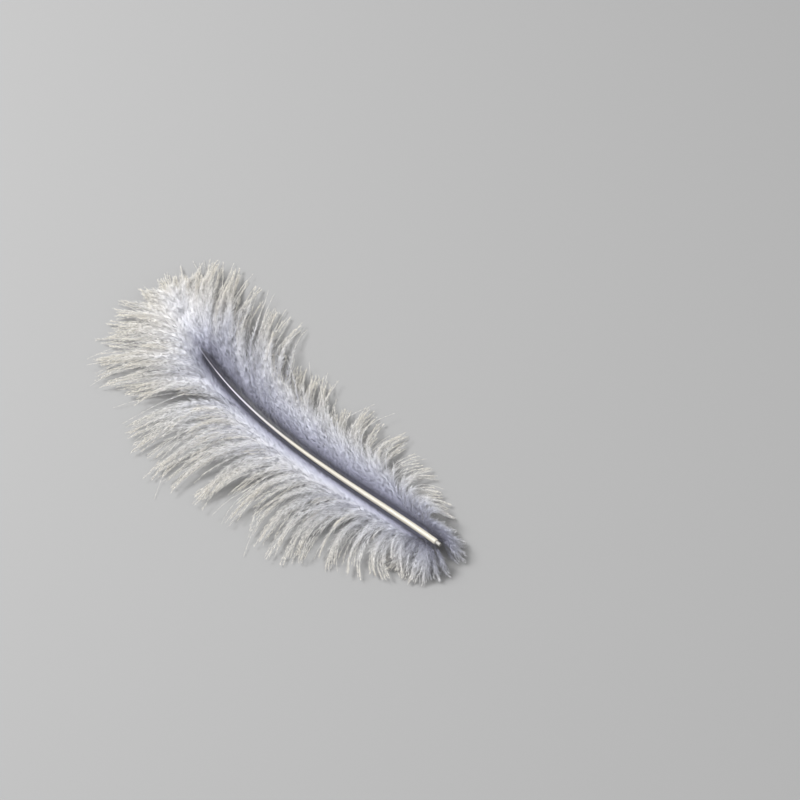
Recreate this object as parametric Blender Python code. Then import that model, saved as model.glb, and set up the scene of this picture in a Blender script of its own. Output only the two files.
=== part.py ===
"""A fluffy lilac-grey goose plume, lying with the hollow side of its bowed quill up.

The feather grew as one piece, so it is one solid: a round tapering quill with
its two vanes, each parted into curved locks of down that leave the quill, rise
over a soft ridge and come down to the ground at their tips. Units are metres,
+Z is up, +Y runs from the cut end of the quill to its tip. The origin is on
the ground under the middle of the feather's footprint.
"""

import math

import bmesh
import bpy
import numpy as np
from mathutils import Vector

# The quill. Its swing to the left and its height are cubic curves along it
QUILL_LENGTH = 0.111
QUILL_START = (0.0055, -0.0626)
QUILL_SWING = (0.0, 0.0007, 0.0120, -0.0001)
QUILL_HEIGHT = (0.0070, 0.0005, 0.0015, 0.0065)
QUILL_RADIUS = 0.00088
QUILL_TIP_RADIUS = 0.00012
QUILL_TAPER_POWER = 2.3
CUT_LENGTH = 0.0016
CUT_RADIUS = 0.00055
CUT_STEP_SHARE = 0.15
QUILL_SIDES = 8
QUILL_RINGS = 17
HEADING_STEP = 0.005

# The locks of down on each side of the quill: -1 is the left vane. Each table
# runs round the outline, from the cut end at 0 to the tip at 1. A place on the
# quill is a share of its length, and an angle is measured from its heading
LEFT = -1
RIGHT = 1
LOCK_COUNT = {LEFT: 23, RIGHT: 20}
OUTLINE_AT = (0.0, 0.06, 0.13, 0.21, 0.30, 0.42, 0.55, 0.70, 0.85, 1.0)
PLACE = {
    LEFT: (0.020, 0.026, 0.034, 0.047, 0.075, 0.172, 0.327, 0.497, 0.700, 0.930),
    RIGHT: (0.020, 0.030, 0.041, 0.055, 0.080, 0.144, 0.280, 0.502, 0.756, 0.930),
}
REACH = {
    LEFT: (0.0122, 0.0183, 0.0260, 0.0345, 0.0431, 0.0497, 0.0510, 0.0510, 0.0456, 0.0318),
    RIGHT: (0.0141, 0.0190, 0.0254, 0.0325, 0.0398, 0.0448, 0.0475, 0.0488, 0.0483, 0.0386),
}
ROOT_ANGLE = {
    LEFT: (33.0, 32.0, 32.0, 32.0, 31.0, 31.0, 32.0, 29.0, 26.0, 23.0),
    RIGHT: (26.0, 21.0, 17.0, 15.0, 15.0, 17.0, 24.0, 35.0, 39.0, 31.0),
}
END_ANGLE = {
    LEFT: (170.0, 150.0, 131.0, 113.0, 98.0, 83.0, 69.0, 53.0, 38.0, 20.0),
    RIGHT: (170.0, 150.0, 129.0, 108.0, 88.0, 68.0, 60.0, 60.0, 53.0, 25.0),
}
TURN_POWER = {
    LEFT: (0.50, 0.94, 1.49, 1.98, 2.38, 2.47, 2.12, 1.82, 1.46, 1.02),
    RIGHT: (0.64, 1.06, 1.50, 1.78, 1.82, 1.86, 1.83, 1.43, 1.07, 0.84),
}
RIDGE_RISE = {LEFT: 0.0078, RIGHT: 0.0074}
RIDGE_PLACE = 0.40
RIDGE_POWER = 2.2
ROOT_DROP_SHARE = 0.7
END_RISE_SHARE = 0.55
BASE_RISE_BY = 0.15
TIP_RISE_BY = 0.25
TIP_HEIGHT = -0.0001
LOCK_WIDTH = 0.0072
END_LOCK_WIDTH = 0.0062
END_TURN_POWER = 1.0
LOCK_THICKNESS = 0.0017
LOCK_ROOT_WIDTH_SHARE = 0.12
ROOT_THICKNESS_SHARE = 0.35
LOCK_FULL_AT = 0.45
LOCK_TAPER_POWER = 2.6
LOCK_END_WIDTH = 0.0006
LOCK_END_THICKNESS = 0.0005
THICKNESS_TAPER = 0.7
LOCK_RINGS = 7
COURSE_STEPS = 8
LOCK_SIDES = 6
FIRST_LOCK = 0.12
LAST_LOCK = 0.99

# The fan of locks that carries on past the tip of the quill
FAN_COUNT = 5
FAN_FIRST_ANGLE = -9.0
FAN_LAST_ANGLE = 30.0
FAN_REACH = 0.0275
FAN_ROOT = 0.945
FAN_ROOT_STEP = 0.011
FAN_RISE = 0.0028

# The tufts at the cut end, which point back past it
TUFT_COUNT = 7
TUFT_FIRST_ANGLE = 104.0
TUFT_LAST_ANGLE = 260.0
TUFT_START_SHARE = 0.97
TUFT_REACH = 0.0130
TUFT_ROOT = 0.022
TUFT_ROOT_STEP = 0.009
TUFT_RISE = 0.0022

# How far each lock strays from the even run
SEED = 50
REACH_STRAY = 0.07
RISE_STRAY = 0.20
ANGLE_STRAY = 3.0
ROLL_STRAY = 12.0
WIDTH_STRAY = 0.10

DOWN_COLOUR = (0.50, 0.49, 0.53)
DOWN_ROUGHNESS = 0.85
SHARP_ANGLE = 50.0
GROUND_CUT_SIZE = 0.30
UP = Vector((0.0, 0.0, 1.0))


def smooth(x):
    """An even rise from 0 to 1 with level ends."""
    x = min(max(x, 0.0), 1.0)
    return x * x * (3.0 - 2.0 * x)


def bezier(controls, u):
    """The value at u of a cubic curve with four control values."""
    a, b, c, d = controls
    v = 1.0 - u
    return a * v**3 + 3.0 * b * v * v * u + 3.0 * c * v * u * u + d * u**3


def quill_point(u):
    """The middle of the quill at a share u of its length."""
    x, y = QUILL_START
    return Vector((x - bezier(QUILL_SWING, u), y + QUILL_LENGTH * u, quill_height(u)))


def quill_height(u):
    """Both ends of the quill are lifted, and its middle sags towards the ground."""
    return bezier(QUILL_HEIGHT, u)


def quill_way(u):
    """The direction in which the quill runs at u."""
    return (quill_point(u + HEADING_STEP) - quill_point(u - HEADING_STEP)).normalized()


def quill_heading(u):
    """The angle of the quill seen from above, in degrees from +Y towards +X."""
    ahead = quill_way(u)
    return math.degrees(math.atan2(ahead.x, ahead.y))


def quill_radius(u):
    """The quill thins from its cut end to a hair at its tip."""
    taper = (1.0 - min(max(u, 0.0), 1.0) ** 2) ** QUILL_TAPER_POWER
    return QUILL_TIP_RADIUS + (QUILL_RADIUS - QUILL_TIP_RADIUS) * taper


def along(table, side, t):
    """The value of a side's table at a share t of the way round the outline."""
    return float(np.interp(t, OUTLINE_AT, table[side]))


def rise(side, u):
    """The height of the soft ridge of a vane above the straight way from root to tip."""
    ends = smooth(u / BASE_RISE_BY) * smooth((1.0 - u) / TIP_RISE_BY)
    return RIDGE_RISE[side] * (END_RISE_SHARE + (1.0 - END_RISE_SHARE) * ends)


def lock_line(side, u, length, start_angle, final_angle, turn_power, ridge):
    """The middle line of a lock as a list of points from its root to its tip."""
    heading = quill_heading(u)
    point = quill_point(u) - UP * (ROOT_DROP_SHARE * quill_radius(u))
    root_height = point.z
    steps = (LOCK_RINGS - 1) * COURSE_STEPS
    points = [point.copy()]
    for k in range(steps):
        v = (k + 0.5) / steps
        angle = start_angle + (final_angle - start_angle) * smooth(v) ** turn_power
        course = math.radians(heading + side * angle)
        point = point + Vector((math.sin(course), math.cos(course), 0.0)) * (length / steps)
        if (k + 1) % COURSE_STEPS == 0:
            point.z = lock_height((k + 1) / steps, root_height, ridge)
            points.append(point.copy())
    return points


def lock_height(v, root_height, ridge):
    """The height of a lock at a share v of its length."""
    power = math.log(0.5) / math.log(RIDGE_PLACE)
    arch = math.sin(math.pi * v**power) ** RIDGE_POWER
    return root_height + (TIP_HEIGHT - root_height) * smooth(v) + ridge * arch


def lock_size(v, width):
    """The half width and half thickness of a lock at a share v of its length."""
    spread = LOCK_ROOT_WIDTH_SHARE + (1.0 - LOCK_ROOT_WIDTH_SHARE) * smooth(v / LOCK_FULL_AT)
    taper = 1.0 - v**LOCK_TAPER_POWER
    half_width = 0.5 * (width * spread * taper + LOCK_END_WIDTH)
    thickened = ROOT_THICKNESS_SHARE + (1.0 - ROOT_THICKNESS_SHARE) * spread
    half_thickness = 0.5 * (LOCK_THICKNESS * thickened * taper**THICKNESS_TAPER + LOCK_END_THICKNESS)
    return half_width, half_thickness


def ring(bm, centre, across, over, sides, turn):
    """A closed ring of vertices round a centre, in the plane of two half axes."""
    verts = []
    for k in range(sides):
        a = 2.0 * math.pi * (k + turn) / sides
        verts.append(bm.verts.new(centre + across * math.cos(a) + over * math.sin(a)))
    return verts


def skin(bm, rings):
    """Joins a run of rings into one closed body with flat ends."""
    for first, second in zip(rings, rings[1:]):
        for k in range(len(first)):
            n = (k + 1) % len(first)
            bm.faces.new((first[k], first[n], second[n], second[k]))
    bm.faces.new(list(reversed(rings[0])))
    bm.faces.new(rings[-1])


def add_lock(bm, line, width, roll):
    """A flat tapering lock along a line, rolled a little about it."""
    rings = []
    for k, centre in enumerate(line):
        v = k / (len(line) - 1)
        ahead = (line[min(k + 1, len(line) - 1)] - line[max(k - 1, 0)]).normalized()
        across = ahead.cross(UP).normalized()
        over = across.cross(ahead).normalized()
        lean = math.radians(roll)
        flat = across * math.cos(lean) + over * math.sin(lean)
        proud = over * math.cos(lean) - across * math.sin(lean)
        half_width, half_thickness = lock_size(v, width)
        rings.append(ring(bm, centre, flat * half_width, proud * half_thickness, LOCK_SIDES, 0.0))
    skin(bm, rings)


def add_quill(bm):
    """The quill: its narrow cut end, then the round shaft thinning to the tip."""
    cut_share = CUT_LENGTH / QUILL_LENGTH
    stations = [(-cut_share, CUT_RADIUS), (-CUT_STEP_SHARE * cut_share, CUT_RADIUS)]
    for k in range(QUILL_RINGS):
        u = k / (QUILL_RINGS - 1)
        stations.append((u, quill_radius(u)))
    rings = []
    for u, radius in stations:
        ahead = quill_way(u)
        across = ahead.cross(UP).normalized()
        over = across.cross(ahead).normalized()
        rings.append(ring(bm, quill_point(u), across * radius, over * radius, QUILL_SIDES, 0.5))
    skin(bm, rings)


def add_vane(bm, side, rng):
    """One vane: locks set along the quill, each straying a little from the even run."""
    count = LOCK_COUNT[side]
    for k in range(count):
        t = FIRST_LOCK + (LAST_LOCK - FIRST_LOCK) * k / (count - 1)
        u = along(PLACE, side, t)
        stray = rng.uniform(-1.0, 1.0, 5)
        line = lock_line(
            side,
            u,
            along(REACH, side, t) * (1.0 + REACH_STRAY * stray[0]),
            along(ROOT_ANGLE, side, t),
            along(END_ANGLE, side, t) + ANGLE_STRAY * stray[1],
            along(TURN_POWER, side, t),
            rise(side, u) * (1.0 + RISE_STRAY * stray[2]),
        )
        add_lock(bm, line, LOCK_WIDTH * (1.0 + WIDTH_STRAY * stray[3]), ROLL_STRAY * stray[4])


def add_fan(bm, rng):
    """The locks past the tip, spread from left to right of the way the quill points."""
    for k in range(FAN_COUNT):
        lean = FAN_FIRST_ANGLE + (FAN_LAST_ANGLE - FAN_FIRST_ANGLE) * k / (FAN_COUNT - 1)
        stray = rng.uniform(-1.0, 1.0, 4)
        line = lock_line(
            RIGHT,
            FAN_ROOT + FAN_ROOT_STEP * k,
            FAN_REACH * (1.0 + REACH_STRAY * stray[0]),
            0.5 * lean,
            lean + ANGLE_STRAY * stray[1],
            END_TURN_POWER,
            FAN_RISE * (1.0 + RISE_STRAY * stray[2]),
        )
        add_lock(bm, line, END_LOCK_WIDTH, ROLL_STRAY * stray[3])


def add_tufts(bm, rng):
    """The tufts round the cut end: angles run from the left, past straight back, to the right."""
    for k in range(TUFT_COUNT):
        stray = rng.uniform(-1.0, 1.0, 4)
        angle = TUFT_FIRST_ANGLE + (TUFT_LAST_ANGLE - TUFT_FIRST_ANGLE) * k / (TUFT_COUNT - 1)
        side = LEFT if angle <= 180.0 else RIGHT
        turned = angle if angle <= 180.0 else 360.0 - angle
        line = lock_line(
            side,
            TUFT_ROOT + TUFT_ROOT_STEP * (k % 3),
            TUFT_REACH * (1.0 + REACH_STRAY * stray[0]),
            TUFT_START_SHARE * turned,
            turned + ANGLE_STRAY * stray[1],
            END_TURN_POWER,
            TUFT_RISE * (1.0 + RISE_STRAY * stray[2]),
        )
        add_lock(bm, line, END_LOCK_WIDTH, ROLL_STRAY * stray[3])


def material(name, colour, roughness):
    """A plain finish of one colour."""
    made = bpy.data.materials.new(name)
    made.use_nodes = True
    shader = made.node_tree.nodes["Principled BSDF"]
    shader.inputs["Base Color"].default_value = (*colour, 1.0)
    shader.inputs["Roughness"].default_value = roughness
    shader.inputs["Metallic"].default_value = 0.0
    return made


def new_object(name, build):
    """A mesh object whose bodies are drawn by a function."""
    bm = bmesh.new()
    build(bm)
    bmesh.ops.recalc_face_normals(bm, faces=bm.faces)
    mesh = bpy.data.meshes.new(name)
    bm.to_mesh(mesh)
    bm.free()
    made = bpy.data.objects.new(name, mesh)
    bpy.context.collection.objects.link(made)
    return made


def add_boolean(target, cutter, operation):
    """Joins or cuts the target with another object, which is then only a guide."""
    step = target.modifiers.new(operation.title(), "BOOLEAN")
    step.operation = operation
    step.solver = "EXACT"
    step.use_self = operation == "UNION"
    step.object = cutter
    cutter.hide_render = True
    cutter.display_type = "WIRE"


def draw_locks(bm):
    """All the locks of down."""
    rng = np.random.default_rng(SEED)
    add_vane(bm, LEFT, rng)
    add_vane(bm, RIGHT, rng)
    add_fan(bm, rng)
    add_tufts(bm, rng)


def draw_ground(bm):
    """A block whose top is the ground that the feather lies on."""
    half = GROUND_CUT_SIZE / 2.0
    made = bmesh.ops.create_cube(bm, size=GROUND_CUT_SIZE)
    bmesh.ops.translate(bm, verts=made["verts"], vec=(0.0, 0.0, -half))


def island(start):
    """All the faces joined to a face by shared edges."""
    found = {start}
    waiting = [start]
    while waiting:
        face = waiting.pop()
        for edge in face.edges:
            for near in edge.link_faces:
                if near not in found:
                    found.add(near)
                    waiting.append(near)
    return found


def signed_volume(faces):
    """The volume of a closed run of faces, below zero where they face into a pocket."""
    total = 0.0
    for face in faces:
        corners = [vert.co for vert in face.verts]
        for second, third in zip(corners[1:], corners[2:]):
            total += corners[0].dot(second.cross(third)) / 6.0
    return total


def fill_pockets(target):
    """Applies the target's modifiers and fills the small pockets shut in between locks."""
    solid = target.evaluated_get(bpy.context.evaluated_depsgraph_get())
    bm = bmesh.new()
    bm.from_mesh(solid.to_mesh())
    solid.to_mesh_clear()
    unseen = set(bm.faces)
    while unseen:
        faces = island(next(iter(unseen)))
        unseen -= faces
        if signed_volume(faces) < 0.0:
            bmesh.ops.delete(bm, geom=list(faces), context="FACES")
    target.modifiers.clear()
    bm.to_mesh(target.data)
    bm.free()


def build_feather():
    """The whole feather: quill and locks grown together, its underside flat on the ground."""
    feather = new_object("feather", add_quill)
    locks = new_object("locks_guide", draw_locks)
    ground = new_object("ground_guide", draw_ground)
    add_boolean(feather, locks, "UNION")
    add_boolean(feather, ground, "DIFFERENCE")
    fill_pockets(feather)
    feather.data.materials.append(material("down", DOWN_COLOUR, DOWN_ROUGHNESS))
    feather.data.shade_smooth()
    feather.data.set_sharp_from_angle(angle=math.radians(SHARP_ANGLE))
    return feather


def main():
    """Clears the scene and builds the feather."""
    for old in list(bpy.data.objects):
        bpy.data.objects.remove(old, do_unlink=True)
    build_feather()


main()
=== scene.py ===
"""The looks of a fluffy lilac-grey plume: its quill, barbs and barbules as real mesh.

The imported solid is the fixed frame. A modelled quill and vanes of down take its
place. Each barb is a thin tapered thread set with fine barbules. The barbs leave
the quill at a small angle, rise over a soft ridge and end on the outline of the
solid's locks, in pointed wisps. Units are metres and degrees.
"""

from __future__ import annotations

import logging
import math
from dataclasses import dataclass, field
from enum import Enum

import bpy
import numpy as np
from mathutils import Matrix, Vector


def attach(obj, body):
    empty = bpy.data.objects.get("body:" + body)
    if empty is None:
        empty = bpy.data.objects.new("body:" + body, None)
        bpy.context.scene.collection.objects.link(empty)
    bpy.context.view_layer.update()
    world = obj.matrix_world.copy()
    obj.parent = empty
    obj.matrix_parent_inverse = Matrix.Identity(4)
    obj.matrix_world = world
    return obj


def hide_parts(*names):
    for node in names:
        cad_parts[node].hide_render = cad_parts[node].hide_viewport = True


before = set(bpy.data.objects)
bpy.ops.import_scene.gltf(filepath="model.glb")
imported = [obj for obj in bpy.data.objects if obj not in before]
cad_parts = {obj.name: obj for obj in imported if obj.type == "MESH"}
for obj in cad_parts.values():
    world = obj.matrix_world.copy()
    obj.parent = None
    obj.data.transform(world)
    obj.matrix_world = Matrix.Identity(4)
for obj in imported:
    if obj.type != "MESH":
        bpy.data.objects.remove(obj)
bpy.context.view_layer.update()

log = logging.getLogger("plume")

BODY = "root"
NODE = "feather"
MOST_TRIANGLES = 195_000
UP = np.array((0.0, 0.0, 1.0))
MAP_NAME = "OFBake"
TABLE_STEPS = 200
UNEVEN = 0.4
POINT_POWER = 1.3
POINT_STRAY = (0.5, 1.3)
FLUFF_RANGE = (0.85, 1.15)
OUTLINE_AT = (0.0, 0.06, 0.13, 0.21, 0.30, 0.42, 0.55, 0.70, 0.85, 1.0)

Colour = tuple[float, float, float]


class Side(Enum):
    """The two sides of the quill, by the sign of the turn from its heading."""

    LEFT = -1
    RIGHT = 1


class Slot(Enum):
    """The record's material slots."""

    DOWN = "down"
    QUILL = "quill"


def smooth(x: np.ndarray) -> np.ndarray:
    """An even rise from 0 to 1 with level ends."""
    x = np.clip(x, 0.0, 1.0)
    return x * x * (3.0 - 2.0 * x)


def bezier(controls: tuple[float, ...], u: np.ndarray) -> np.ndarray:
    """A cubic curve.

    Args:
        controls: its four control values.
        u: how far along it, 0 to 1.

    Returns:
        Its value at u.
    """
    a, b, c, d = controls
    v = 1.0 - u
    return a * v**3 + 3.0 * b * v * v * u + 3.0 * c * v * u * u + d * u**3


def unit(vectors: np.ndarray) -> np.ndarray:
    """The same vectors at length 1."""
    return vectors / np.maximum(np.linalg.norm(vectors, axis=-1, keepdims=True), 1e-12)


def courses(heading: np.ndarray) -> np.ndarray:
    """Level directions for angles in degrees from +Y towards +X."""
    a = np.radians(heading)
    return np.stack((np.sin(a), np.cos(a), np.zeros_like(a)), axis=-1)


def evenly(count: int, rng: np.random.Generator) -> np.ndarray:
    """Rising places from 0 to 1 for a row of things, each a little off its even place."""
    return (np.arange(count) + 0.5 + rng.uniform(-UNEVEN, UNEVEN, count)) / count


@dataclass(frozen=True)
class QuillLine:
    """The curve of the quill, its thickness along it, and the valley of down beside it, with its
    painted shade.

    A place on the quill is a share u of its length, 0 at the cut end.
    """

    length: float = 0.111
    start: tuple[float, float] = (0.0055, -0.0626)
    swing: tuple[float, ...] = (0.0, 0.0007, 0.0120, -0.0001)
    height: tuple[float, ...] = (0.0070, 0.0005, 0.0015, 0.0065)
    radius: float = 0.00088
    tip_radius: float = 0.00012
    taper_power: float = 2.3
    heading_step: float = 0.005
    # how far from the quill the down is coloured dark, as painted shade of the valley
    painted_shade_width: float = 0.0130
    covered_from: float = 0.86
    paler: float = 0.45
    no_limit: float = 2.0

    def point(self, u: np.ndarray) -> np.ndarray:
        """The middle of the quill.

        Args:
            u: places on the quill.

        Returns:
            The points there.
        """
        u = np.asarray(u, float)
        x = self.start[0] - bezier(self.swing, u)
        return np.stack((x, self.start[1] + self.length * u, bezier(self.height, u)), axis=-1)

    def way(self, u: np.ndarray) -> np.ndarray:
        """The direction in which the quill runs at u."""
        return unit(self.point(u + self.heading_step) - self.point(u - self.heading_step))

    def heading(self, u: np.ndarray) -> np.ndarray:
        """The angle of the quill seen from above, from +Y towards +X."""
        way = self.way(u)
        return np.degrees(np.arctan2(way[..., 0], way[..., 1]))

    def beside(self, points: np.ndarray) -> tuple[np.ndarray, np.ndarray]:
        """The quill next to some points.

        Args:
            points: places near the quill, in the last axis x, y, z.

        Returns:
            Each point's share u along the quill, and its level distance from the quill's skin.
        """
        u = ((points[..., 1] - self.start[1]) / self.length).clip(0.0, 1.0)
        off = np.linalg.norm((points - self.point(u))[..., :2], axis=-1)
        return u, (off - self.thickness(u)).clip(0.0)

    def tint_with_painted_shade(self, points: np.ndarray, v: np.ndarray) -> np.ndarray:
        """The place of some points of barb along the down's colour map, with painted shade in the
        valley beside the quill. It is their share of the barb's length, but in that valley no more
        than their distance from it allows, so the down there takes the map's dark start as painted
        shade, up to where the down covers the tip.

        Args:
            points: places on barbs, in the last axis x, y, z.
            v: their share of the barb's length.

        Returns:
            Their place along the colour map, 0 to 1.
        """
        u, off = self.beside(points)
        covered = smooth((u - self.covered_from) / (1.0 - self.covered_from))
        # capping the colour place near the quill paints the valley's shade into the down
        most = off / self.painted_shade_width + self.no_limit * covered
        return np.minimum(v + self.paler * (1.0 - v) * covered, most).clip(0.0, 1.0)

    def thickness(self, u: np.ndarray) -> np.ndarray:
        """The radius of the quill at u."""
        taper = (1.0 - np.clip(u, 0.0, 1.0) ** 2) ** self.taper_power
        return self.tip_radius + (self.radius - self.tip_radius) * taper


@dataclass
class Barbs:
    """A run of barbs.

    Args:
        lines: middle lines, as barbs x points x 3.
        shade: each barb's place across the colour map, 0 to 1.
        fluff: each barb's share of the full length of barbule.
    """

    lines: np.ndarray
    shade: np.ndarray
    fluff: np.ndarray

    def take(self, chosen: np.ndarray) -> "Barbs":
        """The barbs that an index or mask picks."""
        return Barbs(self.lines[chosen], self.shade[chosen], self.fluff[chosen])

    def lengths(self) -> np.ndarray:
        """Each barb's length along its line."""
        return np.linalg.norm(np.diff(self.lines, axis=1), axis=-1).sum(axis=1)


@dataclass(frozen=True)
class Growth:
    """How a run of barbs leaves the quill and lies.

    Every field holds one value for each barb. A barb follows the course of a
    full one as far as its extent, so a short barb ends on the vane's surface.
    """

    side: np.ndarray
    place: np.ndarray
    reach: np.ndarray
    root_angle: np.ndarray
    end_angle: np.ndarray
    turn_power: np.ndarray
    rise: np.ndarray
    tip_height: np.ndarray
    extent: np.ndarray
    curl: np.ndarray
    lock: np.ndarray
    wisp: np.ndarray
    fluff: np.ndarray


@dataclass(frozen=True)
class BarbCourse:
    """Turns a growth into middle lines that gather into locks and wisps."""

    points: int = 16
    ridge_place: float = 0.40
    ridge_power: float = 2.2
    root_turn: float = 25.0
    root_sink: float = 0.85
    sway: float = 6.0
    sway_waves: float = 1.3
    wave_range: tuple[float, float] = (0.6, 1.5)
    sway_by: float = 0.3
    curl_from: float = 0.55
    lock_hold: float = 0.15
    lock_from: float = 0.45
    wisp_hold: float = 0.60
    wisp_from: float = 0.52
    rise_hold: float = 0.45
    bank_foot: float = 0.0001
    bank_shelf: float = 0.0019
    bank_slope: float = 0.95
    bank_ends: float = 0.80
    end_slope: float = 4.0
    floor_gap: float = 0.00012

    def lines(self, quill: QuillLine, grown: Growth, rng: np.random.Generator) -> np.ndarray:
        """The barbs' middle lines.

        Args:
            quill: the line that the barbs leave.
            grown: one value of each kind for each barb.
            rng: the source of the strays.

        Returns:
            The points, as barbs x points x 3.
        """
        count = len(grown.place)
        own = np.linspace(0.0, 1.0, self.points)
        v = own[None, :] * grown.extent[:, None]
        middle = (v[:, 1:] + v[:, :-1]) / 2.0
        turn = smooth(middle) ** grown.turn_power[:, None]
        angle = grown.root_angle[:, None] + (grown.end_angle - grown.root_angle)[:, None] * turn
        phase = rng.uniform(0.0, 2.0 * math.pi, count)[:, None]
        waves = self.sway_waves * rng.uniform(*self.wave_range, count)[:, None]
        sway = self.sway * rng.normal(0.0, 1.0, count)[:, None]
        swung = np.sin(2.0 * math.pi * waves * middle + phase)
        angle = angle + sway * swung * smooth(middle / self.sway_by)
        bend = (own[1:] + own[:-1])[None, :] / 2.0
        curled = smooth((bend - self.curl_from) / (1.0 - self.curl_from))
        angle = angle + grown.curl[:, None] * curled
        heading = quill.heading(grown.place)[:, None] + grown.side[:, None] * angle
        steps = courses(heading) * (grown.reach * grown.extent / (self.points - 1))[:, None, None]
        level = np.concatenate((np.zeros((count, 1, 3)), np.cumsum(steps, axis=1)), axis=1)
        root = self.roots(quill, grown)
        lines = root[:, None, :] + level
        lines[..., 2] = np.minimum(self.heights(v, root[:, 2], grown), self.bank(quill, lines))
        self.gather(lines, grown.lock, own, self.lock_hold, self.lock_from)
        self.gather(lines, grown.wisp, own, self.wisp_hold, self.wisp_from)
        lines[..., 2] = np.maximum(lines[..., 2], self.floor_gap)
        return lines

    def roots(self, quill: QuillLine, grown: Growth) -> np.ndarray:
        """Where each barb leaves the side of the quill, a little under its middle.

        Args:
            quill: the line that the barbs leave.
            grown: one value of each kind for each barb.

        Returns:
            One point for each barb.
        """
        radius = quill.thickness(grown.place)[:, None]
        across = courses(quill.heading(grown.place) + 90.0) * grown.side[:, None]
        turned = math.radians(self.root_turn)
        off = across * math.cos(turned) - UP * math.sin(turned)
        return quill.point(grown.place) + off * radius * self.root_sink

    def heights(self, v: np.ndarray, root: np.ndarray, grown: Growth) -> np.ndarray:
        """The height of every point: up over the ridge, then down to the tip.

        Args:
            v: the points' shares of the full barb's length.
            root: the height of each barb's root.
            grown: one value of each kind for each barb.

        Returns:
            The heights, as barbs x points.
        """
        power = math.log(0.5) / math.log(self.ridge_place)
        arch = np.sin(math.pi * v**power).clip(0.0) ** self.ridge_power
        fall = (grown.tip_height - root)[:, None] * smooth(v)
        return root[:, None] + fall + grown.rise[:, None] * arch

    def bank(self, quill: QuillLine, lines: np.ndarray) -> np.ndarray:
        """The greatest height near the quill, which keeps it in view.

        It is level beside the quill, then a slope up, and soon no limit near the tip.

        Args:
            quill: the line that the barbs leave.
            lines: the barbs' points.

        Returns:
            The greatest height of every point, as barbs x points.
        """
        u, off = quill.beside(lines)
        ending = smooth((u - self.bank_ends) / (1.0 - self.bank_ends))
        slope = self.bank_slope + self.end_slope * ending
        return quill.point(u)[..., 2] + self.bank_foot + slope * (off - self.bank_shelf).clip(0.0)

    def gather(
        self, lines: np.ndarray, group: np.ndarray, v: np.ndarray, hold: float, begin: float
    ) -> None:
        """Draws the barbs of each group together towards their tips.

        Args:
            lines: the barbs' points, which are moved.
            group: each barb's group number.
            v: the points' share of the barb's length.
            hold: how much of the spread is gone at the tips.
            begin: the share of the length at which the gathering begins.
        """
        pull = hold * smooth((v - begin) / (1.0 - begin))
        weight = np.stack((pull, pull, pull * self.rise_hold), axis=-1)
        for number in np.unique(group):
            members = group == number
            middle = lines[members].mean(axis=0)
            lines[members] += (middle - lines[members]) * weight


def runs(count: int, shortest: int, longest: int, rng: np.random.Generator) -> np.ndarray:
    """Group numbers for a row of things, in runs of random length.

    Args:
        count: how many things there are.
        shortest: the least run.
        longest: the greatest run.
        rng: the source of the run lengths.

    Returns:
        One group number for each thing, rising from 0.
    """
    sizes = rng.integers(shortest, longest + 1, count)
    return np.repeat(np.arange(count), sizes)[:count]


def pointed(group: np.ndarray, blunt: float, rng: np.random.Generator) -> np.ndarray:
    """Length shares that bring each group to a point: its middle members are the longest.

    Args:
        group: each member's group number, rising along the row.
        blunt: how much shorter the outermost members are.
        rng: the source of the strays.

    Returns:
        One share of the full length for each member.
    """
    count = np.bincount(group)[group]
    first = np.searchsorted(group, group)
    off = np.abs(2.0 * (np.arange(len(group)) - first + 0.5) / count - 1.0)
    return 1.0 - blunt * off**POINT_POWER * rng.uniform(*POINT_STRAY, len(group))


def strayed(
    start: np.ndarray | float, scatter: tuple[float, ...], *strays: np.ndarray
) -> np.ndarray:
    """A value with each of some strays added at its own scatter."""
    return sum((by * stray for by, stray in zip(scatter, strays)), start)


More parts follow.
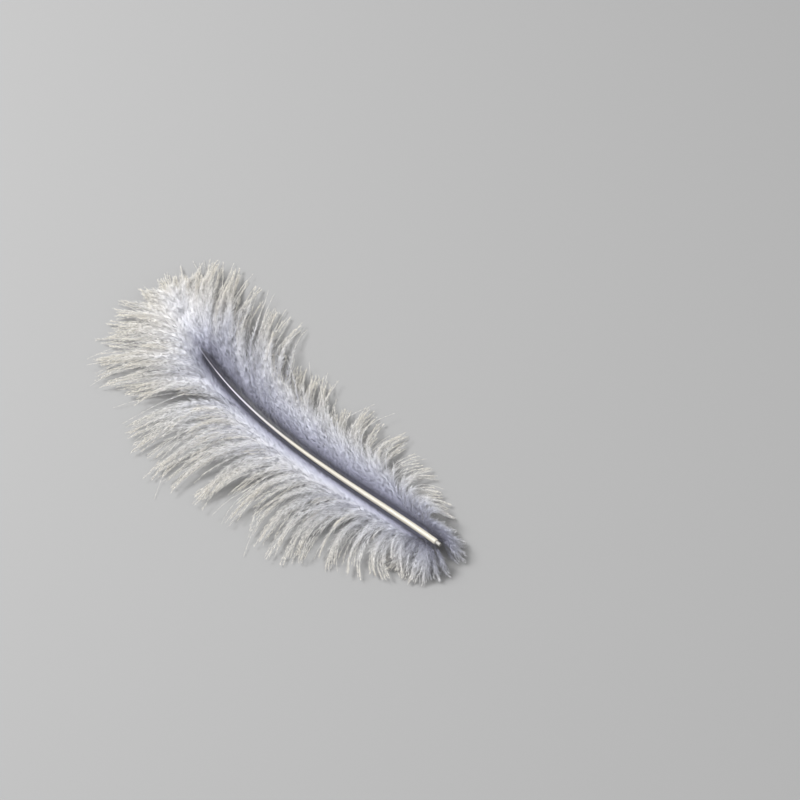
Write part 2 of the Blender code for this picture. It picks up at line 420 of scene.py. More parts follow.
@dataclass(frozen=True)
class Vane:
    """One side of the feather.

    Its tables run round the outline, from the cut end at 0 to the tip at 1. Each
    scatter holds how far a value strays by lock, by wisp and by barb, in that order.
    """

    side: Side
    barbs: int
    place: tuple[float, ...]
    reach: tuple[float, ...]
    root_angle: tuple[float, ...]
    end_angle: tuple[float, ...]
    turn_power: tuple[float, ...]
    rise: float
    outline_at: tuple[float, ...] = OUTLINE_AT
    first: float = 0.02
    evenness: float = 0.30
    end_rise_share: float = 0.55
    base_rise_by: float = 0.15
    tip_rise_by: float = 0.25
    reach_share: float = 1.03
    short_share: float = 0.40
    short_range: tuple[float, float] = (0.50, 0.95)
    short_layer: tuple[float, float] = (0.9, 1.12)
    full_layer: tuple[float, float] = (0.55, 1.05)
    stray_share: float = 0.14
    stray_reach: tuple[float, ...] = (1.10,) * len(OUTLINE_AT)
    stray_fluff: float = 0.35
    stray_curl: float = 14.0
    reach_scatter: tuple[float, float, float] = (0.04, 0.05, 0.04)
    root_scatter: float = 3.0
    end_scatter: tuple[float, float, float] = (3.0, 5.0, 5.0)
    rise_scatter: tuple[float, float] = (0.15, 0.10)
    curl_scatter: tuple[float, float] = (9.0, 9.0)
    tip_heights: tuple[float, float] = (0.0002, 0.0024)
    wisp_point: float = 0.14
    lock_point: float = 0.08
    lock_run: tuple[int, int] = (12, 22)
    wisp_run: tuple[int, int] = (2, 6)

    def spread(self, rng: np.random.Generator) -> np.ndarray:
        """The barbs' places round the outline, even partly along it and partly along the quill.

        Args:
            rng: the source of the strays.

        Returns:
            One rising place for each barb.
        """
        at = np.linspace(self.first, 1.0, TABLE_STEPS)
        along = np.interp(at, self.outline_at, self.place)
        measure = (1.0 - self.evenness) * at + self.evenness * along
        even = evenly(self.barbs, rng)
        return np.interp(measure[0] + (measure[-1] - measure[0]) * even, measure, at)

    def table(self, values: tuple[float, ...], t: np.ndarray) -> np.ndarray:
        """The values of one of the vane's tables at some places round the outline."""
        return np.interp(t, self.outline_at, values)

    def grow(self, rng: np.random.Generator) -> Growth:
        """One value of each kind for every barb of the vane.

        Args:
            rng: the source of the strays.

        Returns:
            The growth of the vane.
        """
        count = self.barbs
        t = self.spread(rng)
        u = self.table(self.place, t)
        lock = runs(count, *self.lock_run, rng)
        wisp = runs(count, *self.wisp_run, rng)
        by_lock = rng.uniform(-1.0, 1.0, (count, 3))[lock]
        by_wisp = rng.uniform(-1.0, 1.0, (count, 3))[wisp]
        own = rng.normal(0.0, 1.0, (count, 4))
        ends = smooth(u / self.base_rise_by) * smooth((1.0 - u) / self.tip_rise_by)
        rise = self.rise * (self.end_rise_share + (1.0 - self.end_rise_share) * ends)
        reach = self.reach_share * self.table(self.reach, t)
        short = rng.uniform(0.0, 1.0, count)[wisp] < self.short_share
        extent = np.where(short, rng.uniform(*self.short_range, count)[wisp], 1.0)
        short_layer = rng.uniform(*self.short_layer, count)
        layer = np.where(short, short_layer, rng.uniform(*self.full_layer, count))
        stray = (rng.uniform(0.0, 1.0, count) < self.stray_share) & ~short
        reach = reach * np.where(stray, self.table(self.stray_reach, t), 1.0)
        end_angle = self.table(self.end_angle, t)
        curl = strayed(0.0, self.curl_scatter, by_wisp[:, 0], own[:, 3])
        return Growth(
            side=np.full(count, float(self.side.value)),
            place=u,
            reach=reach
            * strayed(1.0, self.reach_scatter, by_lock[:, 0], by_wisp[:, 0], own[:, 0]),
            root_angle=self.table(self.root_angle, t) + self.root_scatter * own[:, 1],
            end_angle=strayed(
                end_angle, self.end_scatter, by_lock[:, 1], by_wisp[:, 1], own[:, 2]
            ),
            turn_power=self.table(self.turn_power, t),
            rise=rise * strayed(layer, self.rise_scatter, by_lock[:, 2], by_wisp[:, 2]),
            tip_height=rng.uniform(*self.tip_heights, count),
            extent=extent
            * pointed(wisp, self.wisp_point, rng)
            * pointed(lock, self.lock_point, rng),
            curl=curl + self.stray_curl * stray * own[:, 0],
            lock=lock,
            wisp=np.where(stray, count + np.arange(count), wisp),
            fluff=rng.uniform(*FLUFF_RANGE, count) * np.where(stray, self.stray_fluff, 1.0),
        )


@dataclass(frozen=True)
class Spray:
    """A spread of barbs from one short stretch of quill, such as the fan past its tip.

    Angles run leftwards from the quill's heading, so 180 points straight back.
    A reach scatter is by lock, by wisp and by barb. The scatter of the ends is by
    lock and by barb, and that of the curl by wisp and by barb.
    """

    barbs: int
    first_angle: float
    last_angle: float
    start_share: float
    reach: tuple[float, float]
    rise: float
    root: tuple[float, float]
    turn_power: float = 1.0
    lock_run: tuple[int, int] = (4, 8)
    wisp_run: tuple[int, int] = (2, 4)
    reach_scatter: tuple[float, float, float] = (0.06, 0.05, 0.05)
    root_scatter: float = 3.0
    end_scatter: tuple[float, float] = (4.0, 4.0)
    curl_scatter: tuple[float, float] = (12.0, 8.0)
    layer: tuple[float, float] = (0.3, 1.3)
    tip_heights: tuple[float, float] = (0.0002, 0.0020)
    least_extent: float = 0.72

    def grow(self, rng: np.random.Generator) -> Growth:
        """One value of each kind for every barb of the spray.

        Args:
            rng: the source of the strays.

        Returns:
            The growth of the spray.
        """
        count = self.barbs
        even = evenly(count, rng)
        angle = self.first_angle + (self.last_angle - self.first_angle) * even
        reach = self.reach[0] + (self.reach[1] - self.reach[0]) * even
        side = np.where((angle > 0.0) & (angle <= 180.0), -1.0, 1.0)
        turned = np.where(angle > 180.0, 360.0 - angle, np.abs(angle))
        lock = runs(count, *self.lock_run, rng)
        wisp = runs(count, *self.wisp_run, rng)
        by_lock = rng.uniform(-1.0, 1.0, (count, 2))[lock]
        by_wisp = rng.uniform(-1.0, 1.0, (count, 2))[wisp]
        own = rng.normal(0.0, 1.0, (count, 4))
        return Growth(
            side=side,
            place=rng.uniform(*self.root, count),
            reach=reach
            * strayed(1.0, self.reach_scatter, by_lock[:, 0], by_wisp[:, 0], own[:, 0]),
            root_angle=self.start_share * turned + self.root_scatter * own[:, 1],
            end_angle=strayed(turned, self.end_scatter, by_lock[:, 1], own[:, 2]),
            turn_power=np.full(count, self.turn_power),
            rise=self.rise * rng.uniform(*self.layer, count),
            tip_height=rng.uniform(*self.tip_heights, count),
            extent=rng.uniform(self.least_extent, 1.0, count) ** 0.5,
            curl=strayed(0.0, self.curl_scatter, by_wisp[:, 1], own[:, 3]),
            lock=lock,
            wisp=wisp,
            fluff=rng.uniform(*FLUFF_RANGE, count),
        )


@dataclass
class Shape:
    """Mesh arrays that grow piece by piece: points, triangles and a map place for each corner."""

    points: list[np.ndarray] = field(default_factory=list)
    triangles: list[np.ndarray] = field(default_factory=list)
    places: list[np.ndarray] = field(default_factory=list)
    count: int = 0

    def add(self, points: np.ndarray, triangles: np.ndarray, places: np.ndarray) -> None:
        """Adds one closed body or many.

        Args:
            points: their points.
            triangles: three of those points' numbers for each triangle.
            places: the map place of each point.
        """
        self.points.append(points)
        self.triangles.append(triangles + self.count)
        self.places.append(places)
        self.count += len(points)

    def build(self, name: str) -> bpy.types.Object:
        """Makes the mesh object.

        Args:
            name: the piece's name.

        Returns:
            The object, at the origin, with its place in its mesh.
        """
        points = np.concatenate(self.points)
        triangles = np.concatenate(self.triangles)
        places = np.concatenate(self.places)
        mesh = bpy.data.meshes.new(name)
        mesh.vertices.add(len(points))
        mesh.vertices.foreach_set("co", points.astype(np.float32).ravel())
        mesh.loops.add(triangles.size)
        mesh.loops.foreach_set("vertex_index", triangles.astype(np.int32).ravel())
        mesh.polygons.add(len(triangles))
        mesh.polygons.foreach_set("loop_start", np.arange(0, triangles.size, 3, dtype=np.int32))
        mesh.update(calc_edges=True)
        layer = mesh.uv_layers.new(name=MAP_NAME)
        layer.data.foreach_set("uv", places[triangles.ravel()].astype(np.float32).ravel())
        made = bpy.data.objects.new(name, mesh)
        bpy.context.scene.collection.objects.link(made)
        return made


@dataclass(frozen=True)
class BarbThread:
    """The thin tapered thread of a barb, as a three-sided tube."""

    quill: QuillLine
    root_radius: float = 0.000050
    tip_radius: float = 0.000014
    taper_power: float = 0.7
    sides: int = 3

    def add(self, barbs: Barbs, shape: Shape) -> None:
        """Adds the threads of a run of barbs to a shape.

        Args:
            barbs: the barbs.
            shape: the arrays that the threads are added to.
        """
        count, rings, _ = barbs.lines.shape
        way = unit(np.gradient(barbs.lines, axis=1))
        across = unit(np.cross(way, UP))
        over = np.cross(across, way)
        v = np.linspace(0.0, 1.0, rings)
        radius = self.root_radius + (self.tip_radius - self.root_radius) * v**self.taper_power
        turn = 2.0 * math.pi * np.arange(self.sides) / self.sides + math.pi / 2.0
        spoke = across[:, :, None] * np.cos(turn)[:, None]
        spoke = spoke + over[:, :, None] * np.sin(turn)[:, None]
        points = barbs.lines[:, :, None] + spoke * radius[None, :, None, None]
        shade = np.broadcast_to(barbs.shade[:, None, None], points.shape[:3])
        # colour place along each thread, with painted shade where it runs in the valley beside the
        # quill
        tint_with_painted_shade = self.quill.tint_with_painted_shade(points, np.broadcast_to(v[None, :, None], points.shape[:3]))
        places = np.stack((shade, tint_with_painted_shade), axis=-1)
        shape.add(points.reshape(-1, 3), self.faces(count, rings), places.reshape(-1, 2))

    def faces(self, count: int, rings: int) -> np.ndarray:
        """The triangles of many tubes, each closed at both ends.

        Args:
            count: how many tubes there are.
            rings: how many rings of points each tube has.

        Returns:
            Three point numbers for each triangle.
        """
        n = self.sides
        tube = []
        for r in range(rings - 1):
            for k in range(n):
                a, b = r * n + k, r * n + (k + 1) % n
                tube += [(a, b, b + n), (a, b + n, a + n)]
        last = (rings - 1) * n
        tube += [(0, 2, 1), (last, last + 1, last + 2)]
        starts = np.arange(count)[:, None, None] * rings * n
        return (np.array(tube)[None] + starts).reshape(-1, 3)

    def triangles(self, barbs: Barbs) -> int:
        """How many triangles the threads of a run of barbs take."""
        count, rings, _ = barbs.lines.shape
        return count * (2 * self.sides * (rings - 1) + 2)


@dataclass(frozen=True)
class Barbules:
    """The fine barbules that stand out all round a barb, each a closed four-faced sliver.

    Close to the quill they are short, so that it stays in view in its valley.
    """

    quill: QuillLine
    longest: float = 0.0028
    length_range: tuple[float, float] = (0.6, 1.25)
    bare: float = 0.0030
    last_place: float = 0.998
    root_width: float = 0.000082
    tip_width: float = 0.000024
    near_angle: float = 40.0
    far_angle: float = 22.0
    angle_scatter: float = 8.0
    flat: float = 0.75
    start_length: float = 0.4
    full_from: float = 0.15
    shorter_from: float = 0.5
    tip_loss: float = 0.70
    valley_share: float = 0.55
    valley_floor: float = 0.00012
    covered_from: float = 0.72
    covered_by: float = 0.92
    floor_gap: float = 0.00005
    shade_reach: float = 0.05
    faces: int = 4

    def add(
        self, barbs: Barbs, per_metre: float, rng: np.random.Generator, shape: Shape
    ) -> None:
        """Adds barbules along a run of barbs to a shape.

        Args:
            barbs: the barbs that carry them.
            per_metre: how many there are for each metre of barb.
            rng: the source of the strays.
            shape: the arrays that they are added to.
        """
        lengths = barbs.lengths()
        counts = np.maximum((lengths * per_metre).astype(int), 1)
        owner = np.repeat(np.arange(len(counts)), counts)
        bare = (self.bare / lengths)[owner]
        v = bare + (self.last_place - bare) * rng.uniform(0.0, 1.0, len(owner))
        root, way = self.along(barbs.lines, owner, v)
        across = unit(np.cross(way, UP))
        over = np.cross(across, way)
        lean = self.near_angle + (self.far_angle - self.near_angle) * v
        lean = np.radians(lean + rng.normal(0.0, self.angle_scatter, len(v)))
        round_way = rng.uniform(0.0, 2.0 * math.pi, len(v))
        out = across * np.cos(round_way)[:, None]
        out = out + over * (self.flat * np.sin(round_way))[:, None]
        aim = unit(way * np.cos(lean)[:, None] + out * np.sin(lean)[:, None])
        length = self.longest * self.profile(v) * barbs.fluff[owner]
        length = length * rng.uniform(*self.length_range, len(v))
        length = np.minimum(length, self.room(root))
        tip = root + aim * length[:, None]
        tip[:, 2] = np.maximum(tip[:, 2], self.floor_gap + self.root_width)
        self.slivers(root, tip, barbs.shade[owner], v, rng, shape)

    def profile(self, v: np.ndarray) -> np.ndarray:
        """The barbules' length along a barb: soon full, then shorter towards its tip."""
        start = self.start_length + (1.0 - self.start_length) * smooth(v / self.full_from)
        shorter = smooth((v - self.shorter_from) / (1.0 - self.shorter_from))
        return start * (1.0 - self.tip_loss * shorter)

    def room(self, root: np.ndarray) -> np.ndarray:
        """The longest barbule that leaves the quill clear, more where the down covers its tip.

        Args:
            root: where the barbules begin.

        Returns:
            The greatest length of each.
        """
        u, off = self.quill.beside(root)
        hidden = smooth((u - self.covered_from) / (self.covered_by - self.covered_from))
        return self.valley_floor + self.valley_share * off + hidden * self.longest

    def along(
        self, lines: np.ndarray, owner: np.ndarray, v: np.ndarray
    ) -> tuple[np.ndarray, np.ndarray]:
        """Points and directions on the barbs.

        Args:
            lines: the barbs' middle lines.
            owner: the barb that each point is on.
            v: each point's share of its barb's length.

        Returns:
            The points and the directions of the barb there.
        """
        last = lines.shape[1] - 1
        spot = v * last
        first = np.minimum(spot.astype(int), last - 1)
        share = (spot - first)[:, None]
        a, b = lines[owner, first], lines[owner, first + 1]
        return a + (b - a) * share, unit(b - a)

    def slivers(
        self,
        root: np.ndarray,
        tip: np.ndarray,
        shade: np.ndarray,
        v: np.ndarray,
        rng: np.random.Generator,
        shape: Shape,
    ) -> None:
        """Adds one four-faced sliver for each root and tip.

        Args:
            root: where the slivers begin.
            tip: where they end.
            shade: their place across the colour map.
            v: their share of the barb's length.
            rng: the source of the turn about their length.
            shape: the arrays that they are added to.
        """
        way = unit(tip - root)
        any_way = unit(rng.normal(0.0, 1.0, root.shape))
        edge = unit(np.cross(way, any_way))
        cross = np.cross(way, edge)
        wide = edge * (self.root_width / 2.0)
        narrow = cross * (self.tip_width / 2.0)
        points = np.stack((root + wide, root - wide, tip + narrow, tip - narrow), axis=1)
        points[..., 2] = np.maximum(points[..., 2], self.floor_gap)
        corner = np.array(((0, 1, 2), (0, 3, 1), (1, 3, 2), (2, 3, 0)))
        triangles = corner[None] + points.shape[1] * np.arange(len(root))[:, None, None]
        # colour places of root and tip, with painted shade where they lie in the valley beside the
        # quill
        near = self.quill.tint_with_painted_shade(root, v)
        ends = self.quill.tint_with_painted_shade(tip, np.clip(v + self.shade_reach, 0.0, 1.0))
        along = np.stack((near, near, ends, ends), axis=1)
        places = np.stack((np.broadcast_to(shade[:, None], along.shape), along), axis=-1)
        shape.add(points.reshape(-1, 3), triangles.reshape(-1, 3), places.reshape(-1, 2))


def fill(node: bpy.types.Node, values: dict[str, object]) -> None:
    """Sets some of a shader node's inputs."""
    for name, value in values.items():
        node.inputs[name].default_value = value


def ramp(
    tree: bpy.types.NodeTree, at: bpy.types.NodeSocket, stops: list[tuple[float, Colour]]
) -> bpy.types.NodeSocket:
    """Adds a colour ramp to a material.

    Args:
        tree: the material's nodes.
        at: the place along the ramp.
        stops: the place and the colour of each stop, in order.

    Returns:
        The colour.
    """
    made = tree.nodes.new("ShaderNodeValToRGB")
    tree.links.new(at, made.inputs["Fac"])
    while len(made.color_ramp.elements) < len(stops):
        made.color_ramp.elements.new(0.5)
    for stop, (place, colour) in zip(made.color_ramp.elements, stops):
        stop.position = place
        stop.color = (*colour, 1.0)
    return made.outputs["Color"]


def toned(
    tree: bpy.types.NodeTree,
    colour: bpy.types.NodeSocket,
    noise: bpy.types.NodeSocket,
    noise_range: tuple[float, float],
    tone_range: tuple[float, float],
) -> bpy.types.NodeSocket:
    """Makes a colour darker and lighter by a noise.

    Args:
        tree: the material's nodes.
        colour: the colour.
        noise: the noise.
        noise_range: the least and greatest noise that counts.
        tone_range: what the colour is multiplied by there.

    Returns:
        The toned colour.
    """
    level = tree.nodes.new("ShaderNodeMapRange")
    fill(level, {"From Min": noise_range[0], "From Max": noise_range[1]})
    fill(level, {"To Min": tone_range[0], "To Max": tone_range[1]})
    tree.links.new(noise, level.inputs["Value"])
    tone = tree.nodes.new("ShaderNodeMix")
    tone.data_type = "RGBA"
    tone.blend_type = "MULTIPLY"
    tone.inputs["Factor"].default_value = 1.0
    tree.links.new(colour, tone.inputs["A"])
    tree.links.new(level.outputs["Result"], tone.inputs["B"])
    return tone.outputs["Result"]


@dataclass(frozen=True)
class DownFinish:
    """The down: painted dark shade near the quill, then lilac-grey and light grey, with cream tips.
    """

    # root is painted shade, the near-black of the shadowed valley beside the quill; base is the
    # down's lilac-grey, darkened partly as painted shade
    root: Colour = (0.075, 0.075, 0.105)
    base: Colour = (0.37, 0.375, 0.475)
    inner: Colour = (0.62, 0.63, 0.72)
    outer: Colour = (0.88, 0.88, 0.91)
    tip: Colour = (0.87, 0.83, 0.75)
    stops: tuple[float, ...] = (0.09, 0.20, 0.37, 0.64, 1.0)
    roughness: float = 0.62
    sheen: float = 0.15
    sheen_roughness: float = 0.4
    specular: float = 0.25
    variation_scale: float = 26.0
    variation_detail: float = 2.0
    noise_range: tuple[float, float] = (0.3, 0.7)
    tone_range: tuple[float, float] = (0.84, 1.08)

    def material(self) -> bpy.types.Material:
        """Makes the material, whose colour reads the piece's own map.

        The map runs across the row of barbs, and along each of them.

        Returns:
            The material.
        """
        made = bpy.data.materials.new("down")
        made.use_nodes = True
        tree = made.node_tree
        shader = tree.nodes["Principled BSDF"]
        place = tree.nodes.new("ShaderNodeUVMap")
        place.uv_map = MAP_NAME
        split = tree.nodes.new("ShaderNodeSeparateXYZ")
        tree.links.new(place.outputs["UV"], split.inputs[0])
        colours = (self.root, self.base, self.inner, self.outer, self.tip)
        # the ramp's dark start gives the valley beside the quill its painted shade
        colour = ramp(tree, split.outputs["Y"], list(zip(self.stops, colours)))
        noise = tree.nodes.new("ShaderNodeTexNoise")
        fill(noise, {"Scale": self.variation_scale, "Detail": self.variation_detail})
        tree.links.new(place.outputs["UV"], noise.inputs["Vector"])
        colour = toned(tree, colour, noise.outputs["Fac"], self.noise_range, self.tone_range)
        tree.links.new(colour, shader.inputs["Base Color"])
        fill(shader, {"Roughness": self.roughness, "Specular IOR Level": self.specular})
        fill(shader, {"Sheen Weight": self.sheen, "Sheen Roughness": self.sheen_roughness})
        return made


@dataclass(frozen=True)
class QuillFinish:
    """Ivory horn with faint streaks along it, greyer at the cut end and cooler at the tip."""

    cut: Colour = (0.30, 0.29, 0.27)
    ivory: Colour = (0.43, 0.405, 0.345)
    far: Colour = (0.40, 0.39, 0.44)
    cut_margin: float = 0.002
    stops: tuple[float, ...] = (0.0, 0.016, 0.0192, 0.5, 0.72)
    streak_scale: float = 900.0
    streak_stretch: float = 0.02
    streak_detail: float = 3.0
    noise_range: tuple[float, float] = (0.0, 1.0)
    tone_range: tuple[float, float] = (0.90, 1.10)
    bump: float = 0.15
    bump_depth: float = 0.0001
    roughness: float = 0.45
    coat: float = 0.06
    specular: float = 0.4

    def material(self, line: QuillLine) -> bpy.types.Material:
        """Makes the material, whose colour and streaks read object coordinates.

        Args:
            line: the quill's line, along which the colours change.

        Returns:
            The material.
        """
        made = bpy.data.materials.new("quill")
        made.use_nodes = True
        tree = made.node_tree
        shader = tree.nodes["Principled BSDF"]
        place = tree.nodes.new("ShaderNodeTexCoord")
        split = tree.nodes.new("ShaderNodeSeparateXYZ")
        tree.links.new(place.outputs["Object"], split.inputs[0])
        share = tree.nodes.new("ShaderNodeMapRange")
        begin = line.start[1]
        fill(share, {"From Min": begin - self.cut_margin, "From Max": begin + line.length})
        tree.links.new(split.outputs["Y"], share.inputs["Value"])
        colours = (self.cut, self.cut, self.ivory, self.ivory, self.far)
        colour = ramp(tree, share.outputs["Result"], list(zip(self.stops, colours)))
        stretch = tree.nodes.new("ShaderNodeMapping")
        fill(stretch, {"Scale": (1.0, self.streak_stretch, 1.0)})
        tree.links.new(place.outputs["Object"], stretch.inputs["Vector"])
        noise = tree.nodes.new("ShaderNodeTexNoise")
        fill(noise, {"Scale": self.streak_scale, "Detail": self.streak_detail})
        tree.links.new(stretch.outputs["Vector"], noise.inputs["Vector"])
        colour = toned(tree, colour, noise.outputs["Fac"], self.noise_range, self.tone_range)
        tree.links.new(colour, shader.inputs["Base Color"])
        bump = tree.nodes.new("ShaderNodeBump")
        fill(bump, {"Strength": self.bump, "Distance": self.bump_depth})
        tree.links.new(noise.outputs["Fac"], bump.inputs["Height"])
        tree.links.new(bump.outputs["Normal"], shader.inputs["Normal"])
        fill(shader, {"Roughness": self.roughness, "Specular IOR Level": self.specular})
        fill(shader, {"Coat Weight": self.coat})
        return made


@dataclass(frozen=True)
class Quill:
    """The quill: a hollow cut end, a round shaft, and a hair-thin tip."""

    line: QuillLine
    sides: int = 20
    stations: int = 60
    cut_length: float = 0.0016
    cut_radius: float = 0.00055
    step_share: float = 0.15
    wall: float = 0.00016
    hollow: float = 0.0012
    crisp_angle: float = 40.0

    def build(self) -> bpy.types.Object:
        """Models the quill by extruding a disc along its line.

        Returns:
            The quill, at the origin, with its place in its mesh.
        """
        cut_share = self.cut_length / self.line.length
        bpy.ops.object.select_all(action="DESELECT")
        bpy.ops.mesh.primitive_circle_add(
            vertices=self.sides, radius=self.cut_radius, fill_type="NGON"
        )
        quill = bpy.context.object
        quill.name = "quill"
        self.turn_to(quill, -cut_share)
        bpy.ops.object.mode_set(mode="EDIT")
        bpy.ops.mesh.select_mode(type="FACE")
        bpy.ops.mesh.select_all(action="SELECT")
        here, size = -cut_share, self.cut_radius
        for u, radius in self.rings(cut_share):
            centre = self.line.point(u)
            step = centre - self.line.point(here)
            bpy.ops.mesh.extrude_region_move(TRANSFORM_OT_translate={"value": tuple(step)})
            bpy.ops.transform.resize(value=(radius / size,) * 3, center_override=tuple(centre))
            here, size = u, radius
        bpy.ops.object.mode_set(mode="OBJECT")
        self.bore_cut_end(quill)
        self.finish(quill)
        return quill

    def rings(self, cut_share: float) -> list[tuple[float, float]]:
        """The rings past the cut end.

        Args:
            cut_share: the cut end's length as a share of the quill's.

        Returns:
            Each ring's place on the quill and its radius.
        """
        places = [k / (self.stations - 1) for k in range(self.stations)]
        shaft = [(u, float(self.line.thickness(u))) for u in places]
        return [(-self.step_share * cut_share, self.cut_radius), *shaft]

    def turn_to(self, piece: bpy.types.Object, u: float) -> None:
        """Sets the starting disc across the line, and puts its place in its mesh.

        Args:
            piece: the disc.
            u: its place on the quill.
        """
        way = Vector(self.line.way(u))
        spin = Vector((0.0, 0.0, 1.0)).rotation_difference(way).to_matrix().to_4x4()
        piece.data.transform(Matrix.Translation(Vector(self.line.point(u))) @ spin)

    def bore_cut_end(self, piece: bpy.types.Object) -> None:
        """Insets the cut end and pushes it in, so that the end is hollow.

        Args:
            piece: the quill.
        """
        end = Vector(self.line.point(-self.cut_length / self.line.length))
        way = Vector(self.line.way(0.0))
        for face in piece.data.polygons:
            near = (face.center - end).length < self.cut_radius
            face.select = near and len(face.vertices) == self.sides
        bpy.ops.object.mode_set(mode="EDIT")
        bpy.ops.mesh.inset(thickness=self.wall, depth=0.0)
        bpy.ops.mesh.extrude_region_move(TRANSFORM_OT_translate={"value": tuple(way * self.hollow)})
        bpy.ops.mesh.select_all(action="SELECT")
        bpy.ops.mesh.normals_make_consistent(inside=False)
        bpy.ops.object.mode_set(mode="OBJECT")

    def finish(self, piece: bpy.types.Object) -> None:
        """Shades the shaft smooth but keeps the rims of the cut end crisp.

        Args:
            piece: the quill.
        """
        bpy.ops.object.select_all(action="DESELECT")
        piece.select_set(True)
        bpy.context.view_layer.objects.active = piece
        bpy.ops.object.shade_smooth_by_angle(angle=math.radians(self.crisp_angle))


@dataclass
class Down:
    """All the down of the feather, parted into pieces that a mesh file can hold."""

    quill: QuillLine
    thread: BarbThread
    barbules: Barbules
    finish: DownFinish
    course: BarbCourse
    sets: dict[str, tuple[Vane | Spray, int]]
    triangles: int
    seed: int = 7

    def build(self) -> list[bpy.types.Object]:
        """Grows every set of barbs and makes its pieces.

        Returns:
            The pieces of down.
        """
        rng = np.random.default_rng(self.seed)
        grown = {}
        for name, (kind, _) in self.sets.items():
            growth = kind.grow(rng)
            lines = self.course.lines(self.quill, growth, rng)
            shade = (np.arange(len(lines)) + 0.5) / len(lines)
            grown[name] = Barbs(lines, shade, growth.fluff)
        threads = sum(self.thread.triangles(barbs) for barbs in grown.values())
        metres = sum(barbs.lengths().sum() for barbs in grown.values())
        per_metre = (self.triangles - threads) / self.barbules.faces / metres
        material = self.finish.material()
        pieces = []
        for name, (_, parts) in self.sets.items():
            for number, chosen in enumerate(self.split(grown[name], parts)):
                barbs = grown[name].take(chosen)
                shape = Shape()
                self.thread.add(barbs, shape)
                self.barbules.add(barbs, per_metre, rng, shape)
                label = name if parts == 1 else f"{name}_{number + 1}"
                piece = shape.build(label)
                piece.data.materials.append(material)
                pieces.append(piece)
                count = len(piece.data.polygons)
                log.info("%s: %d barbs, %d triangles", label, len(barbs.lines), count)
                if count > MOST_TRIANGLES:
                    raise ValueError(f"{label} has too many triangles")
        return pieces

    def split(self, barbs: Barbs, parts: int) -> list[np.ndarray]:
        """Parts a run of barbs along the quill into shares of equal barb length.

        Args:
            barbs: the run of barbs.
            parts: how many shares there are.

        Returns:
            The numbers of the barbs in each share.
        """
        total = np.cumsum(barbs.lengths())
        number = np.minimum((total / total[-1] * parts).astype(int), parts - 1)
        return [np.flatnonzero(number == k) for k in range(parts)]


@dataclass(frozen=True)
class Lamp:
    """A square soft light that faces the object, with angles in degrees and power in watts."""

    name: str
    azimuth: float
    elevation: float
    distance: float
    size: float
    power: float


@dataclass(frozen=True)
class Studio:
    """The plain pale floor, the soft lights and the camera at the photograph's angle."""

    lamps: tuple[Lamp, ...] = (
        Lamp("key", -150.0, 50.0, 1.1, 0.35, 20.0),
        Lamp("fill", 10.0, 45.0, 1.2, 0.9, 5.0),
    )
    floor_size: float = 6.0
    floor_colour: Colour = (0.25, 0.25, 0.25)
    floor_roughness: float = 0.8
    floor_specular: float = 0.2
    azimuth: float = -43.89
    elevation: float = 55.0
    distance: float = 0.70
    lens: float = 103.95
    target: tuple[float, float, float] = (0.0359, -0.0160, 0.0)
    sky: float = 0.62
    bounces: int = 8

    def build(self) -> None:
        """Makes the floor, the lights, the sky and the camera."""
        self.floor()
        for lamp in self.lamps:
            self.light(lamp)
        world = bpy.data.worlds.new("studio")
        world.use_nodes = True
        background = world.node_tree.nodes["Background"]
        fill(background, {"Color": (1.0, 1.0, 1.0, 1.0), "Strength": self.sky})
        bpy.context.scene.world = world
        bpy.context.scene.view_settings.view_transform = "Standard"
        bpy.context.scene.cycles.diffuse_bounces = self.bounces
        self.camera()

    def back(self, azimuth: float, elevation: float) -> Vector:
        """The direction from the object to something at an azimuth and elevation."""
        a, e = math.radians(azimuth), math.radians(elevation)
        return Vector((math.sin(a) * math.cos(e), -math.cos(a) * math.cos(e), math.sin(e)))

    def floor(self) -> None:
        """A plain pale floor, which isn't part of the object."""
        bpy.ops.object.select_all(action="DESELECT")
        bpy.ops.mesh.primitive_plane_add(size=self.floor_size)
        floor = bpy.context.object
        floor.name = "floor"
        made = bpy.data.materials.new("floor")
        made.use_nodes = True
        shader = made.node_tree.nodes["Principled BSDF"]
        fill(shader, {"Base Color": (*self.floor_colour, 1.0)})
        fill(shader, {"Roughness": self.floor_roughness})
        fill(shader, {"Specular IOR Level": self.floor_specular})
        floor.data.materials.append(made)

    def light(self, lamp: Lamp) -> None:
        """Adds a light.

        Args:
            lamp: its place, size and power.
        """
        data = bpy.data.lights.new(lamp.name, "AREA")
        data.shape = "SQUARE"
        data.size = lamp.size
        data.energy = lamp.power
        made = bpy.data.objects.new(lamp.name, data)
        back = self.back(lamp.azimuth, lamp.elevation)
        made.location = back * lamp.distance
        made.rotation_mode = "QUATERNION"
        made.rotation_quaternion = back.to_track_quat("Z", "Y")
        bpy.context.scene.collection.objects.link(made)

    def camera(self) -> None:
        """The camera at the photograph's viewing angle and framing."""
        data = bpy.data.cameras.new("camera")
        data.lens = self.lens
        made = bpy.data.objects.new("camera", data)
        back = self.back(self.azimuth, self.elevation)
        made.location = Vector(self.target) + back * self.distance
        made.rotation_mode = "QUATERNION"
        made.rotation_quaternion = back.to_track_quat("Z", "Y")
        bpy.context.scene.collection.objects.link(made)
        bpy.context.scene.camera = made


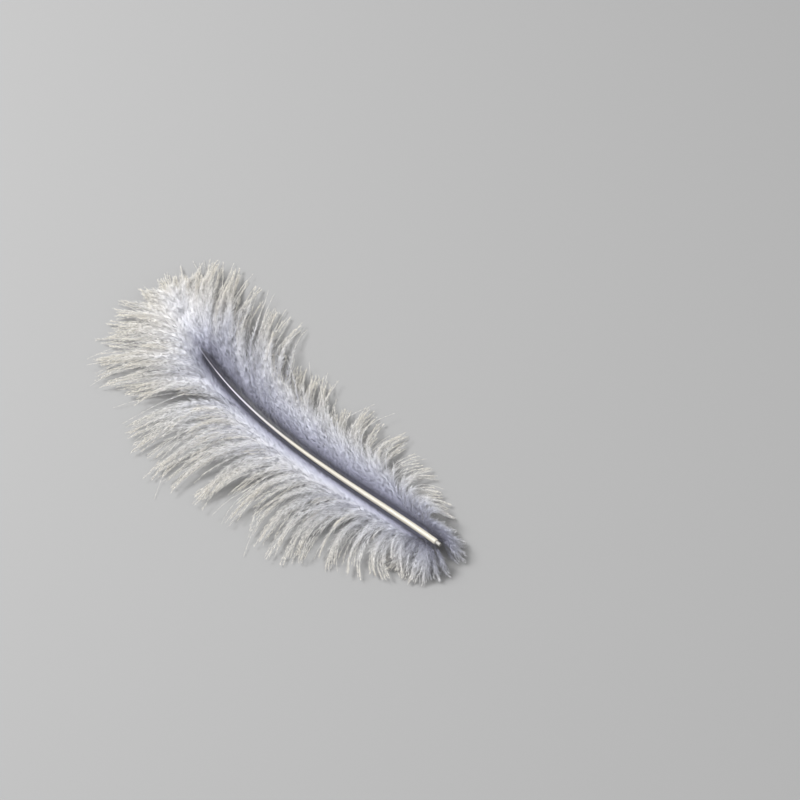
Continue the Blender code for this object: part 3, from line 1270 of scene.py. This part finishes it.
def make_down(line: QuillLine) -> Down:
    """The down of this feather: a wide left vane, a narrower right one, a fan and base tufts.

    Args:
        line: the quill that carries it.

    Returns:
        The down, ready to build.
    """
    left = Vane(
        side=Side.LEFT,
        barbs=400,
        place=(0.019, 0.023, 0.028, 0.039, 0.064, 0.166, 0.327, 0.498, 0.697, 0.928),
        reach=(0.0138, 0.0216, 0.0324, 0.0442, 0.0558, 0.0626, 0.0604, 0.0565, 0.0500, 0.0345),
        root_angle=(18.0, 15.0, 13.0, 12.0, 12.0, 12.0, 12.0, 12.0, 11.0, 10.0),
        end_angle=(176.0, 157.0, 142.0, 129.0, 117.0, 106.0, 95.0, 75.0, 55.0, 32.0),
        turn_power=(0.52, 0.86, 1.20, 1.50, 1.75, 1.85, 1.75, 1.55, 1.30, 1.10),
        rise=0.0070,
        stray_reach=(1.08, 1.16, 1.26, 1.32, 1.24, 1.06, 1.02, 1.04, 1.08, 1.08),
    )
    right = Vane(
        side=Side.RIGHT,
        barbs=370,
        place=(0.020, 0.029, 0.038, 0.051, 0.070, 0.135, 0.283, 0.511, 0.757, 0.930),
        reach=(0.0154, 0.0213, 0.0283, 0.0355, 0.0428, 0.0475, 0.0490, 0.0492, 0.0506, 0.0395),
        root_angle=(13.0, 11.0, 9.0, 8.0, 8.0, 8.0, 13.0, 20.0, 22.0, 18.0),
        end_angle=(175.0, 158.0, 140.0, 119.0, 98.0, 76.0, 68.0, 63.0, 56.0, 33.0),
        turn_power=(0.61, 1.03, 1.52, 1.90, 2.05, 1.88, 1.40, 0.90, 0.70, 0.62),
        rise=0.0066,
    )
    fan = Spray(
        barbs=90,
        first_angle=-40.0,
        last_angle=22.0,
        start_share=0.5,
        reach=(0.0300, 0.0285),
        rise=0.0036,
        root=(0.88, 0.995),
    )
    tufts = Spray(
        barbs=160,
        first_angle=58.0,
        last_angle=318.0,
        start_share=0.94,
        reach=(0.0140, 0.0074),
        rise=0.0024,
        root=(0.004, 0.060),
    )
    return Down(
        quill=line,
        thread=BarbThread(line),
        barbules=Barbules(line),
        finish=DownFinish(),
        course=BarbCourse(),
        sets={
            "left_vane": (left, 3),
            "right_vane": (right, 3),
            "end_fan": (fan, 1),
            "base_tufts": (tufts, 1),
        },
        triangles=940_000,
    )


def main() -> None:
    """Builds the feather on its frame, and the studio round it."""
    logging.basicConfig(level=logging.INFO, format="%(message)s")
    line = QuillLine()
    quill = Quill(line).build()
    quill.data.materials.append(QuillFinish().material(line))
    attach(quill, BODY)
    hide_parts(NODE)
    log.info("quill: %d faces", len(quill.data.polygons))
    for piece in make_down(line).build():
        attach(piece, BODY)
        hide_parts(NODE)
    Studio().build()


if __name__ == "__main__":
    main()
